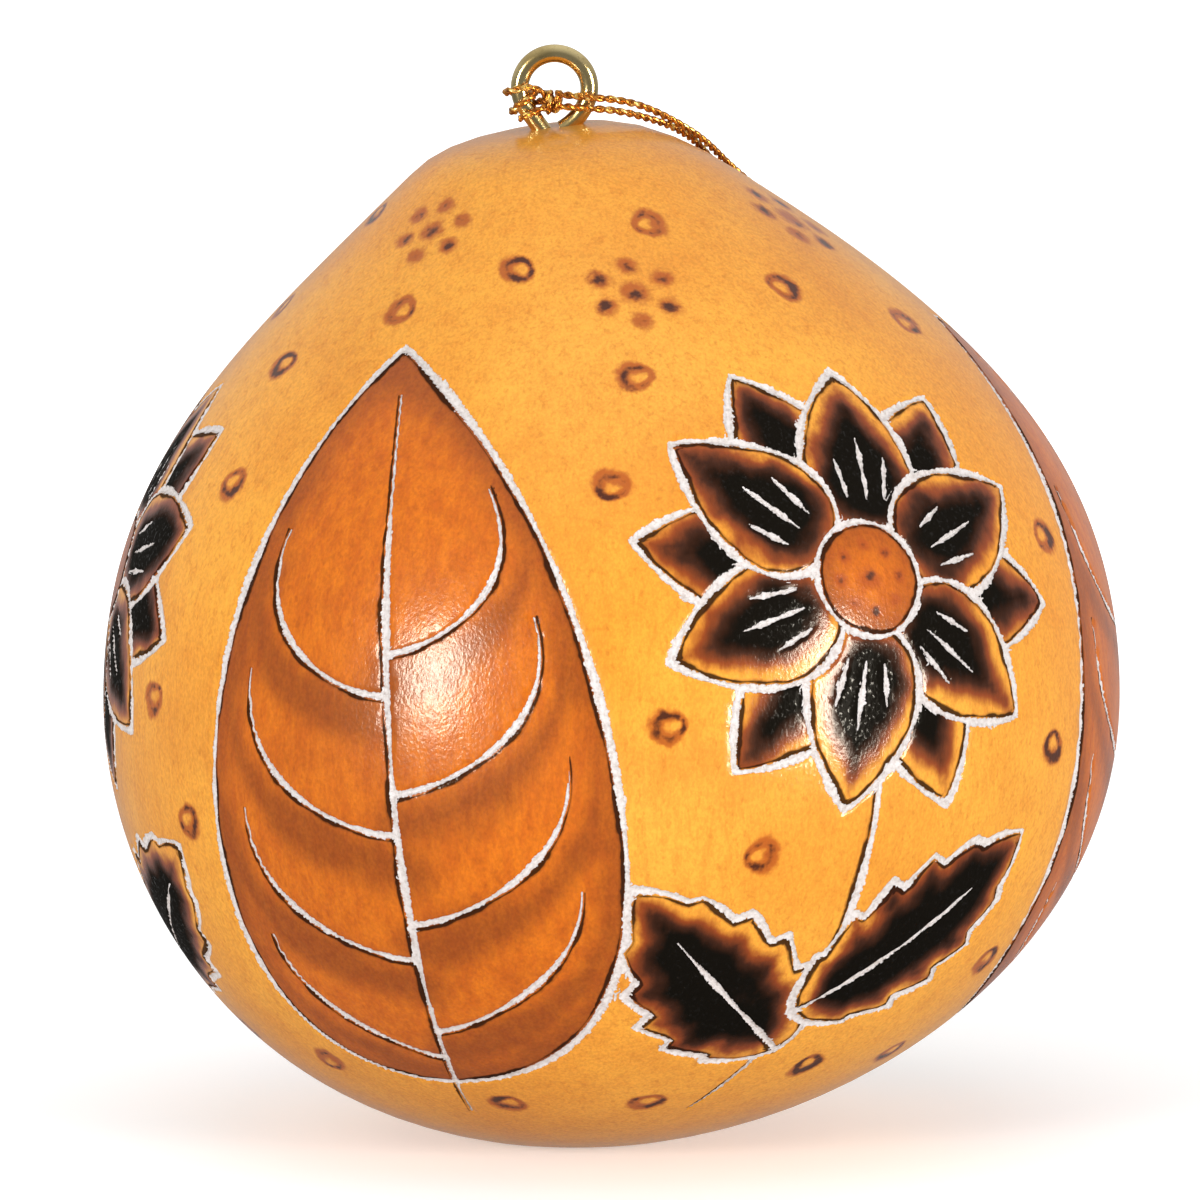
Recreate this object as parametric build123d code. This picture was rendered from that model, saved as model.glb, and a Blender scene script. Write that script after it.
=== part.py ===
from build123d import *
import os
from math import asin, cos, degrees, pi, radians, sin, tan

# A dried gourd ornament: a hollow, lopsided gourd, a screw eye in its crown and a thread tied to the eye.
# Millimetres, +Z up. The origin is the middle of the flat that the gourd stands on, and -Y is its front.

# Gourd, whose level sections are circles
belly_diameter = 75.0
belly_height = 32.6
base_radius = 7.6
neck_radius = 11.7
neck_height = 71.6
neck_slope = 37.3
belly_handle = 15.9
neck_handle = 22.2
scar_radius = 2.2
wall = 3.0

# Sideways shift of the sections, to the right at the belly and back to the left at the crown
lean = 2.7
lean_power = 3.55
lean_skew = 1.125
crown_drift = 1.67
drift_power = 12

# Tilt of the sections near the crown, whose right side is the higher
crown_tilt = 6.9
tilt_power = 49

# Places of the sections, as shares of the way along each stretch of the profile
lower_shares = (0.0, 0.2, 0.4, 0.6, 0.8)
upper_shares = (0.0, 0.2, 0.4, 0.6, 0.8, 0.9)
crown_shares = (0.0, 0.25, 0.5, 0.75, 1.0)
cavity_lower_shares = (0.0, 0.25, 0.5, 0.75)
cavity_upper_shares = (0.0, 0.25, 0.5, 0.75, 1.0)

# Screw eye, bent from one wire in the plane that faces front
eye_shift = -1.5
wire_diameter = 1.33
ring_diameter = 6.45
ring_lift = 2.9
leg_angle = 216.0
bend_radius = 1.2
end_leg_angle = -20.0
end_reach = 0.54
end_depth = 0.16
shank_length = 7.0
tip_length = 2.0
tip_flat_radius = 0.1

# Thread
thread_diameter = 0.6

# Hitch: the turns of thread round the left limb of the ring
hitch_clearance = 0.05
hitch_start_angle = 177.0
hitch_step = 24.0
wrap_start = 240
wrap_end = 840
wrap_step = 30
hitch_start_place = (-1.9, -0.2, 77.0)
hitch_end_place = (-1.9, 0.1, 76.9)

# A point at this share of each lead, from the knot, keeps the lead straight up to there
lead_share = 0.6

# Knot inside the ring, and the two cut ends that come out of it
knot_place = (-1.7, -0.05, 76.75)
knot_radius = 0.85
knot_height = 1.9
knot_rounding = 0.6
front_end_route = ((-1.95, -0.4, 76.4), (-2.9, -1.45, 76.1), (-4.1, -1.75, 75.6))
back_end_route = ((-1.5, 0.4, 76.5), (-1.5, 1.4, 76.3), (-2.1, 2.1, 75.7))

# Free loop: from the knot over the right shoulder, down the back, round below the belly and up again
loop_route = (
    (-1.3, -0.4, 77.3),
    (0.8, -1.6, 77.2),
    (3.2, -1.4, 77.0),
    (5.3, -0.2, 76.3),
    (7.6, 1.9, 74.9),
    (9.7, 4.7, 73.2),
    (11.5, 8.2, 70.9),
    (15.4, 12.2, 67.2),
    (21.2, 16.9, 61.1),
    (26.2, 21.0, 54.0),
    (29.6, 24.1, 45.8),
    (31.0, 25.4, 37.6),
    (31.1, 25.6, 29.0),
    (30.6, 26.1, 21.5),
    (25.4, 30.3, 21.5),
    (25.5, 30.5, 29.5),
    (25.5, 30.3, 38.1),
    (24.1, 28.5, 46.9),
    (21.3, 24.4, 55.0),
    (17.1, 19.2, 62.1),
    (12.0, 13.5, 68.2),
    (9.2, 6.0, 72.9),
    (7.3, 2.7, 74.5),
    (5.2, 0.2, 75.5),
    (3.0, -1.3, 76.2),
    (0.7, -1.6, 76.4),
    (-1.3, -0.3, 76.4),
)

# An arc of a free thread takes this share of the shorter run beside it
arc_share = 0.45

belly_radius = belly_diameter / 2
wire_radius = wire_diameter / 2
thread_radius = thread_diameter / 2
ring_radius = (ring_diameter - wire_diameter) / 2
turn_radius = wire_radius + thread_radius + hitch_clearance


# Gourd

def profile_stretches():
    """The body's profile as radius and height: an ellipse, a shoulder curve and a crown arc, each tangent to the next."""
    edge_angle = asin(base_radius / belly_radius)
    ellipse_height = belly_height / cos(edge_angle)
    rise = 90 - degrees(edge_angle)
    lower = EllipticalCenterArc((0, belly_height), belly_radius, ellipse_height, start_angle=-rise, arc_size=rise)
    slope = radians(neck_slope)
    belly = Vector(belly_radius, belly_height)
    neck = Vector(neck_radius, neck_height)
    upper = Bezier(
        belly,
        belly + Vector(0, belly_handle),
        neck + Vector(cos(slope), -sin(slope)) * neck_handle,
        neck,
    )
    crown_radius = (neck_radius - scar_radius) / sin(slope)
    scar = Vector(scar_radius, neck_height + crown_radius * (1 - cos(slope)))
    crown = TangentArc(neck, scar, tangent=(-cos(slope), sin(slope)))
    return lower, upper, crown


lower, upper, crown = profile_stretches()
gourd_height = (crown @ 1).Y


def section_shift(height):
    """How far a section's centre lies to the right of the axis."""
    share = height / gourd_height
    bulge = 1 - abs(2 * share**lean_skew - 1) ** lean_power
    return lean * bulge - crown_drift * share**drift_power


def section(stretch, share, depth):
    """The level circle at a share of a profile stretch, or of the same stretch set in by a depth."""
    along = stretch % share
    inward = Vector(-along.Y, along.X)
    place = stretch @ share + inward * depth
    tilt = crown_tilt * (place.Y / gourd_height) ** tilt_power
    return Pos(section_shift(place.Y), 0, place.Y) * Rot(0, -tilt, 0) * Circle(place.X)


def make_gourd(eye):
    body = loft(
        [section(lower, share, 0) for share in lower_shares]
        + [section(upper, share, 0) for share in upper_shares]
        + [section(crown, share, 0) for share in crown_shares[1:]]
    )
    cavity = loft(
        [section(lower, share, wall) for share in cavity_lower_shares]
        + [section(upper, share, wall) for share in cavity_upper_shares]
    )
    return body - cavity - eye


# Screw eye

ring_middle = Vector(eye_shift, 0, gourd_height + ring_lift)


def ring_point(angle):
    """A point of the ring's centre line, by its angle from the right in degrees."""
    turn = radians(angle)
    return ring_middle + Vector(cos(turn), 0, sin(turn)) * ring_radius


def make_eye():
    """A straight leg runs from the ring's lower left to the shank, and the other limb ends in the crown beside it."""
    shank_foot = Vector(eye_shift, 0, gourd_height - shank_length)
    corner = ring_middle + Vector(0, 0, ring_radius / sin(radians(leg_angle)))
    leg_head = ring_point(leg_angle)
    leg = FilletPolyline(shank_foot, corner, leg_head, radius=bend_radius)
    limb_head = ring_point(end_leg_angle)
    ring = ThreePointArc(leg_head, ring_point(90), limb_head)
    limb_end = Vector(eye_shift + end_reach, 0, gourd_height - end_depth)
    limb = TangentArc(limb_head, limb_end, tangent=ring % 1)
    path = Wire(leg.edges() + [ring, limb])
    wire = sweep(Plane(shank_foot, z_dir=(0, 0, 1)) * Circle(wire_radius), path=path)
    tip = Pos(shank_foot - Vector(0, 0, tip_length / 2)) * Cone(tip_flat_radius, wire_radius, tip_length)
    return wire + tip


# Thread

def hitch_point(wrap):
    """A point of the hitch's centre line, which turns round the ring's wire as it moves along it."""
    angle = hitch_start_angle + hitch_step * (wrap - wrap_start) / 360
    middle = ring_point(angle)
    outward = (middle - ring_middle).normalized()
    turn = radians(wrap)
    return middle + (outward * cos(turn) + Vector(0, 1, 0) * sin(turn)) * turn_radius


def make_hitch():
    """A smooth curve through the points of the turns, whose two ends lead into the knot."""
    turns = [hitch_point(wrap) for wrap in range(wrap_start, wrap_end + 1, wrap_step)]
    start = Vector(hitch_start_place)
    end = Vector(hitch_end_place)
    lead_in = start + (turns[0] - start) * lead_share
    lead_out = end + (turns[-1] - end) * lead_share
    path = Spline(start, lead_in, *turns, lead_out, end)
    tube = sweep(Plane(path @ 0, z_dir=path % 0) * Circle(thread_radius), path=path)
    least = min(
        (hitch_point(wrap) - hitch_point(other)).length
        for wrap in range(wrap_start, wrap_end - 180, 10)
        for other in range(wrap + 180, wrap_end, 10)
    )
    expected = pi * thread_radius**2 * path.length
    print(f"hitch: least gap between its turns {least - thread_diameter:.2f} mm")
    print(f"hitch: length {path.length:.1f} mm, volume {tube.volume:.2f}, section times length {expected:.2f}")
    return tube


def corner_radii(points):
    """The largest radius at each inner point that leaves its share of both runs to the arc."""
    radii = []
    for before, point, after in zip(points, points[1:], points[2:]):
        arrival = Vector(point) - Vector(before)
        leaving = Vector(after) - Vector(point)
        half_turn = radians(arrival.get_angle(leaving)) / 2
        radii.append(arc_share * min(arrival.length, leaving.length) / tan(half_turn))
    return radii


def make_tube(name, points):
    """A round tube along straight runs joined by tangent arcs, with its radii and volume printed."""
    radii = corner_radii(points)
    path = FilletPolyline(*points, radius=radii)
    start_direction = Vector(points[1]) - Vector(points[0])
    tube = sweep(Plane(points[0], z_dir=start_direction) * Circle(thread_radius), path=path)
    expected = pi * thread_radius**2 * path.length
    print(name, "radii", [round(radius, 2) for radius in radii])
    print(f"{name}: length {path.length:.1f} mm, volume {tube.volume:.2f}, section times length {expected:.2f}")
    return tube


def make_knot():
    barrel = Cylinder(knot_radius, knot_height)
    return Pos(knot_place) * fillet(barrel.edges().filter_by(GeomType.CIRCLE), knot_rounding)


eye = make_eye()
knot = make_knot()
sub_parts = {
    "gourd_shell": make_gourd(eye),
    "screw_eye": eye,
    "thread_knot": knot + make_tube("front end", front_end_route) + make_tube("back end", back_end_route),
    "thread_hitch": make_hitch() - knot,
    "hanging_loop": make_tube("loop", loop_route) - knot,
}

os.makedirs("parts", exist_ok=True)
for name, solid in sub_parts.items():
    export_step(solid, f"parts/{name}.step")
print(f"gourd {belly_diameter} mm wide and {gourd_height:.2f} mm high")
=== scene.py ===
"""Looks of a carved gourd ornament.

A lacquered skin with carved and burnt work, a brass screw eye and a twisted thread.
"""

import bpy
import numpy as np
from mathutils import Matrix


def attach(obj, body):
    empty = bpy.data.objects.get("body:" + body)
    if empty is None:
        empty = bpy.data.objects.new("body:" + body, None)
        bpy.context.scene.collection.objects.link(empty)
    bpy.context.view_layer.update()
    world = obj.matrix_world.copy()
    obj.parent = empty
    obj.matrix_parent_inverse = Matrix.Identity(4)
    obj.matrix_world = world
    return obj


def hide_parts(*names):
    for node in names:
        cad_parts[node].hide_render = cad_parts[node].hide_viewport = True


# Lengths below are in millimetres, as in the solid model. Meshes are made in metres.
MM = 0.001

# Gourd body
BELLY_RADIUS = 37.5
BELLY_HEIGHT = 32.6
BASE_RADIUS = 7.6
NECK_RADIUS = 11.7
NECK_HEIGHT = 71.6
NECK_SLOPE = np.radians(37.3)
BELLY_HANDLE = 15.9
NECK_HANDLE = 22.2
SCAR_RADIUS = 2.2
LEAN = 2.7
LEAN_POWER = 3.55
LEAN_SKEW = 1.125
CROWN_DRIFT = 1.67
DRIFT_POWER = 12
CROWN_TILT = np.radians(6.9)
TILT_POWER = 49
POLE_RADIUS = 0.05
OUTLINE_STEPS = 200

# Screw eye
EYE_SHIFT = -1.5
WIRE_RADIUS = 0.665
RING_RADIUS = 2.56
RING_LIFT = 2.9
LEG_ANGLE = np.radians(216.0)
END_LEG_ANGLE = np.radians(-20.0)
END_REACH = 0.54
END_DEPTH = 0.16
WIRE_SIDES = 40
LEG_POINTS = 24
CIRCLE_POINTS = 110
LIMB_POINTS = 40

# Thread
THREAD_DIAMETER = 0.6
PLY_RADIUS = 0.165
PLY_OFFSET = 0.135
PLY_TURN = 1.62
PLY_SIDES = 8
PLY_STEP = 0.13
HITCH_CLEARANCE = 0.05
HITCH_START = np.radians(177.0)
HITCH_STEP = np.radians(24.0)
WRAP_START = np.radians(240.0)
WRAP_END = np.radians(840.0)
HITCH_POINTS = 200
OUT_PULL = (-0.3, 0.0, 0.5)
BACK_PULL = (0.5, 0.0, 0.0)
TURN_PULL = 0.6
BRIDGE_POINTS = 24
KNOT_PLACE = (-1.7, -0.05, 76.75)
KNOT_TURNS = 2.3
KNOT_RADIUS = 0.58
KNOT_PITCH = 0.52
KNOT_SWAY = 0.1
KNOT_SWAY_RATE = 0.7
KNOT_RISE = 0.06
KNOT_SKEW = 0.3
KNOT_POINTS = 200
FRONT_END_ROUTE = ((-1.95, -0.4, 76.4), (-2.9, -1.45, 76.1), (-4.1, -1.75, 75.6))
BACK_END_ROUTE = ((-1.5, 0.4, 76.5), (-1.5, 1.4, 76.3), (-2.1, 2.1, 75.7))
LOOP_ROUTE = (
    (-1.3, -0.4, 77.3),
    (0.8, -1.6, 77.2),
    (3.2, -1.4, 77.0),
    (5.3, -0.2, 76.3),
    (7.6, 1.9, 74.9),
    (9.7, 4.7, 73.2),
    (11.5, 8.2, 70.9),
    (15.4, 12.2, 67.2),
    (21.2, 16.9, 61.1),
    (26.2, 21.0, 54.0),
    (29.6, 24.1, 45.8),
    (31.0, 25.4, 37.6),
    (31.1, 25.6, 29.0),
    (30.6, 26.1, 21.5),
    (25.4, 30.3, 21.5),
    (25.5, 30.5, 29.5),
    (25.5, 30.3, 38.1),
    (24.1, 28.5, 46.9),
    (21.3, 24.4, 55.0),
    (17.1, 19.2, 62.1),
    (12.0, 13.5, 68.2),
    (9.2, 6.0, 72.9),
    (7.3, 2.7, 74.5),
    (5.2, 0.2, 75.5),
    (3.0, -1.3, 76.2),
    (0.7, -1.6, 76.4),
    (-1.3, -0.3, 76.4),
)
ROUTE_RESOLUTION = 48

# Lattice of the skin: its finest cells round and along the gourd, and how often a coarse cell is halved
COLUMNS = 768
ROWS = 432
LEVELS = 3

# A cell is finest this near to a line, in the line's half widths, and one halving coarser this near
FINEST_REACH = 1.3
FINER_REACH = 2.2

# Carving: half widths and depths of the lines, and how their width tapers to points and swells between
LINE_HALF_WIDTH = 0.37
VEIN_HALF_WIDTH = 0.3
POINT_HALF_WIDTH = 0.07
GROOVE_DEPTH = 0.16
GROOVE_POWER = 0.7
MARK_DEPTH = 0.02
POINT_SHARE = 0.28
POINT_POWER = 0.7
SWELL_MEAN = 0.7
SWELL_SLOW = 0.22
SWELL_QUICK = 0.1
SWELL_SPREAD = 40
CHAR_HALF_WIDTH = 0.2
CHAR_GAP = 0.14
BURN_DEPTH = 3.4
EDGE_SHADE = 3.0
VEIN_SHADE = 2.2

# Distances from a line count up to a far one, in its half widths. Its edge lies this many half widths out,
# and this far outside the edge, in millimetres, a distance is turned into the far one.
FAR = 6.0
EDGE_MARGIN = 1.2
OUTSIDE = (0.1, 0.24)

# Spacing of the points along a drawn line, and small numbers that keep a division from failing
STEP = 0.7
TINY = 1e-9
LEAST_LENGTH = 1e-12

# Leaf outline: the powers that shape its foot and tip, and how many points a length and a tooth get
LEAF_FOOT = 0.55
LEAF_TIP = 0.9
LEAF_POINTS = 1.6
TOOTH_POINTS = 8

# Toned leaf: the stretch of its midrib, and its side veins' roots, rise and reach, as shares of the leaf
RIB_SPAN = (-0.08, 0.93)
VEIN_START = 0.08
VEIN_SPAN = 0.66
VEIN_STAGGER = 0.025
VEIN_RISE = 0.2
VEIN_BOW = 1.6
VEIN_REACH = 0.8
VEIN_POINTS = 26
VEIN_SHADE_FOOT = 1.15
VEIN_SHADE_FALL = 0.8

# Cuts on a petal: how far aside each lies and how long it is, and where they start, as shares of the petal
PETAL_CUTS = ((-0.5, 0.22), (0.05, 0.36), (0.55, 0.26))
CUT_START = 0.22
CUT_SPLAY = 0.4
CUT_POINTS = 8

# Flower: its back and front rows of petals, each a turn in petals, a length share and cuts, and its disc
PETALS = 6
PETAL_ROWS = ((0.5, 1.0, ()), (0.0, 0.94, PETAL_CUTS))
PETAL_ROOT = 0.7
PETAL_WIDEST = 0.4
PETAL_TURN = 0.2
DISC_SHARE = 0.24
DISC_POINTS = 44
DISC_DOTS = 8
DISC_DOT_REACH = 0.58
DISC_DOT = 0.45
DISC_MIDDLE_DOT = 0.75

# Leaves on a flower's stem: the side, the share of the stem and the lean of each.
# Their length and width are shares of the flower's reach.
STEM_LEAVES = ((-1, 0.18, 0.72), (1, 0.27, 0.86))
STEM_LEAF_LENGTH = 1.2
STEM_LEAF_WIDTH = 0.3
STEM_LEAF_GAP = 0.5
STEM_LEAF_RIB = 0.72
STEM_LEAF_RIB_POINTS = 30
TEETH = 6
TOOTH = 1.5

# Design round the gourd. Each repeat differs a little from the one before, by the amounts named changes.
REPEATS = 3
FIRST_TURN = -90
LEAF_TURN = -30
LEAF_HEIGHT = 34.0
LEAF_HEIGHT_CHANGE = 1
LEAF_TILT = 5
LEAF_TILT_CHANGE = -4
LEAF_LENGTH = 62.0
LEAF_LENGTH_CHANGE = -2
LEAF_WIDTH = 17.0
LEAF_BEND = 3.0
LEAF_BEND_CHANGE = -2
LEAF_VEINS = 4
SPRAY_TURN = 32
SPRAY_HEIGHT = 5.0
FLOWER_HEIGHT = 45.5
FLOWER_HEIGHT_CHANGE = -1.5
FLOWER_SWAY = 4.0
FLOWER_SWAY_CHANGE = -3
FLOWER_SIZE = 18.0
FLOWER_SIZE_CHANGE = -0.5

# Rosettes of burnt dots: their turns in degrees and heights in each repeat
ROSETTES = ((8, 65.0), (-46, 68.5))
ROSETTE_DOTS = 6
ROSETTE_REACH = 2.7
ROSETTE_DOT = 0.72
ROSETTE_MIDDLE_DOT = 0.95

# Burnt rings at seeded places, clear of other work at these distances from their middles
BURNT_RING_SEED = 7
BURNT_RING_TRIES = 1400
BURNT_RING_HEIGHTS = (5, 72)
BURNT_RING_SPACING = 9.5
BURNT_RING_CLEAR = (1.5, 2.6)
BURNT_RING_BEARINGS = 12
BURNT_RING_REACH = 0.95
BURNT_RING_HALF_WIDTH = 0.4
BURNT_RING_WOBBLE = (0.1, 0.07)
BURNT_RING_SWING = 0.4
BURNT_RING_PHASE = 5
BURNT_RING_POINTS = 29

# Camera and light
VIEW_ELEVATION = np.radians(8.0)
VIEW_DISTANCE = 1500.0
VIEW_WIDTH = 88.5
VIEW_CENTRE = (1.84, 0.0, 39.7)
SENSOR_WIDTH = 36.0
ROOM_WAY = (0.0, 0.45, 0.9)
ROOM_TURN = (-0.2, 0.9)
ROOM_LIGHT = (0.2, 0.7)
FLOOR_GLOW = (0.52, 1.2)
FLOOR_WHITE = 0.75
FLOOR_ROUGHNESS = 0.9
FLOOR_GAP = 0.05

# These are in metres
FLOOR_SIZE = 12.0
FLOOR_REACH = (0.06, 0.4)
CAMERA_REACH = 50.0
BOX_DISTANCE = 0.8

# A box that gloss sees is this much taller than wide, and of this colour
SHINE_TALL = 2.4
SHINE_COLOUR = (1.0, 0.93, 0.78)

# Soft boxes: azimuth to the right of the camera and elevation in degrees, width in metres, power in watts,
# and whether gloss alone sees the box or all else does
SOFT_BOXES = {
    "right_shine": (51.0, 6.0, 0.15, 8.4, True),
    "left_shine": (-40.0, 9.5, 0.12, 5.2, True),
    "right_box": (51.0, 6.0, 0.2, 5.7, False),
    "left_box": (-40.0, 11.0, 0.16, 3.5, False),
    "left_fill": (-35.0, 20.0, 0.6, 1.7, False),
    "top_box": (0.0, 72.0, 0.6, 1.9, False),
}

# Colours, in the display's 0 to 255
SKIN_DEEP = (196, 126, 34)
SKIN_LIGHT = (208, 144, 46)
SKIN_FIBRE = (178, 104, 26)
SKIN_SMOKE = (168, 94, 24)
SKIN_FLECK = (156, 82, 20)
STAIN_LIGHT = (184, 95, 2)
STAIN_DEEP = (166, 78, 2)
STAIN_SMOKE = (134, 58, 6)
STAIN_SHADE = (104, 43, 6)
STAIN_FLECK = (124, 54, 8)
BURN_EDGE = (124, 52, 10)
BURN_BROWN = (50, 21, 8)
BURN_BLACK = (6, 4, 3)
CHAR_BROWN = (100, 45, 12)
CHAR_BLACK = (22, 9, 5)
MARK_BROWN = (142, 60, 8)
MARK_BLACK = (46, 14, 6)
FLESH_LIGHT = (194, 188, 186)
FLESH_DULL = (164, 153, 147)
BRASS_BRIGHT = (240, 218, 160)
BRASS_DULL = (202, 178, 120)
BRASS_PITS = (140, 120, 70)
FOIL_COPPER = (224, 150, 58)
# Painted shade: the darker colour of the foil's folds
FOIL_SHADOW = (126, 72, 30)
# Painted glint: a bright colour laid into the thread's foil at random spots, standing in for highlights
FOIL_PAINTED_GLINT = (255, 224, 136)

# Gloss. The tint and level are those of the skin's own faint gloss under the lacquer.
GLOSS_TINT = (1.0, 0.9, 0.68, 1.0)
GLOSS_LEVEL = 0.1
COAT_ROUGHNESS = 0.2
FOIL_METAL = 0.85

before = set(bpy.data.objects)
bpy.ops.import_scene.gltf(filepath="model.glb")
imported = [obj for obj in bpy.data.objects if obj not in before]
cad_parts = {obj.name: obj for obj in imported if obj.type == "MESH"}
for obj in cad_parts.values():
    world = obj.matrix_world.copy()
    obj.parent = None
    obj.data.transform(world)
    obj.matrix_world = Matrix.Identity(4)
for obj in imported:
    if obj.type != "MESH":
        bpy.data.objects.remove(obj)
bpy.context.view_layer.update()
scene = bpy.context.scene


# Shapes

def new_piece(name, vertices, faces, material):
    """A mesh piece from points in millimetres, riding on the one body."""
    mesh = bpy.data.meshes.new(name)
    mesh.from_pydata(np.asarray(vertices) * MM, [], faces)
    mesh.polygons.foreach_set("use_smooth", np.ones(len(mesh.polygons), bool))
    mesh.materials.append(material)
    piece = bpy.data.objects.new(name, mesh)
    scene.collection.objects.link(piece)
    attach(piece, "root")
    return piece


def along(points):
    """Distance along a line of points, and the line's direction at each."""
    points = np.asarray(points, float)
    direction = np.gradient(points, axis=0)
    direction /= np.linalg.norm(direction, axis=1, keepdims=True)
    distance = np.r_[0, np.cumsum(np.linalg.norm(np.diff(points, axis=0), axis=1))]
    return distance, direction


def frames(points):
    """Two directions square to a line at each of its points, carried along it without twist."""
    _, direction = along(points)
    side = np.empty_like(direction)
    side[0] = np.cross(direction[0], np.roll(direction[0], 1))
    for here in range(len(direction)):
        carried = side[max(here - 1, 0)]
        carried = carried - direction[here] * carried.dot(direction[here])
        side[here] = carried / np.linalg.norm(carried)
    return side, np.cross(direction, side)


def tube(points, radius, sides):
    """A closed tube's vertices and faces: a circle of the radius about each point of a line, square to it."""
    points = np.asarray(points, float)
    side, other = frames(points)
    turn = np.linspace(0, 2 * np.pi, sides, endpoint=False)
    circle = side[:, None] * np.cos(turn)[:, None] + other[:, None] * np.sin(turn)[:, None]
    radius = np.broadcast_to(radius, len(points))
    vertices = (points[:, None] + circle * radius[:, None, None]).reshape(-1, 3)
    ring = np.arange(len(points) - 1)[:, None] * sides
    corner = np.arange(sides)
    after = (corner + 1) % sides
    above = ring + sides
    quads = np.stack([ring + corner, ring + after, above + after, above + corner], -1).reshape(-1, 4)
    last = (len(points) - 1) * sides
    caps = [list(range(sides))[::-1], list(range(last, last + sides))]
    return vertices, quads.tolist() + caps


def joined(parts):
    """Several pairs of vertices and faces as one pair."""
    vertices, faces, start = [], [], 0
    for part_vertices, part_faces in parts:
        vertices.append(part_vertices)
        faces += [[start + corner for corner in face] for face in part_faces]
        start += len(part_vertices)
    return np.vstack(vertices), faces


# Gourd outline

def section_shift(height, top):
    """How far a level section's centre lies to the right: a bulge, less a drift near the crown."""
    share = height / top
    bulge = 1 - np.abs(2 * share**LEAN_SKEW - 1) ** LEAN_POWER
    return LEAN * bulge - CROWN_DRIFT * share**DRIFT_POWER


def make_outline():
    """Radius, height and distance along the gourd's half outline, from its base's middle to its crown's.

    A flat, an ellipse, a cubic shoulder with two pulls, a crown arc and a flat scar follow one another.
    """
    share = np.linspace(0, 1, OUTLINE_STEPS)
    rest = 1 - share
    edge = np.arcsin(BASE_RADIUS / BELLY_RADIUS)
    rise = edge + (np.pi / 2 - edge) * share
    flat = np.stack([POLE_RADIUS + (BASE_RADIUS - POLE_RADIUS) * share, 0 * share])
    lower = np.stack([BELLY_RADIUS * np.sin(rise), BELLY_HEIGHT * (1 - np.cos(rise) / np.cos(edge))])
    belly = np.array([[BELLY_RADIUS], [BELLY_HEIGHT]])
    neck = np.array([[NECK_RADIUS], [NECK_HEIGHT]])
    slope = np.array([[np.cos(NECK_SLOPE)], [-np.sin(NECK_SLOPE)]])
    belly_pull = belly + np.array([[0], [BELLY_HANDLE]])
    neck_pull = neck + slope * NECK_HANDLE
    from_belly = rest**3 * belly + 3 * rest**2 * share * belly_pull
    upper = from_belly + 3 * rest * share**2 * neck_pull + share**3 * neck
    crown_radius = (NECK_RADIUS - SCAR_RADIUS) / np.sin(NECK_SLOPE)
    top = NECK_HEIGHT + crown_radius * (1 - np.cos(NECK_SLOPE))
    tilt = NECK_SLOPE * rest
    crown = np.stack([SCAR_RADIUS + crown_radius * np.sin(tilt), top - crown_radius * (1 - np.cos(tilt))])
    scar = np.stack([SCAR_RADIUS + (POLE_RADIUS - SCAR_RADIUS) * share, top + 0 * share])
    radius, height = np.hstack([flat[:, :-1], lower[:, :-1], upper[:, :-1], crown[:, :-1], scar])
    distance = np.r_[0, np.cumsum(np.hypot(np.diff(radius), np.diff(height)))]
    return radius, height, distance


RADIUS, HEIGHT, DISTANCE = make_outline()
GOURD_HEIGHT = HEIGHT.max()


def distance_at(height):
    """Distance along the outline at a height of the body."""
    body = (DISTANCE >= BASE_RADIUS) & (DISTANCE <= DISTANCE[-1] - SCAR_RADIUS)
    return np.interp(height, HEIGHT[body], DISTANCE[body])


def radius_at(distance):
    """Radius of the outline at a distance along it."""
    return np.interp(distance, DISTANCE, RADIUS)


# Design on the skin. A motif is drawn in millimetres about its own place, to the right and up along the skin.

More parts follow.
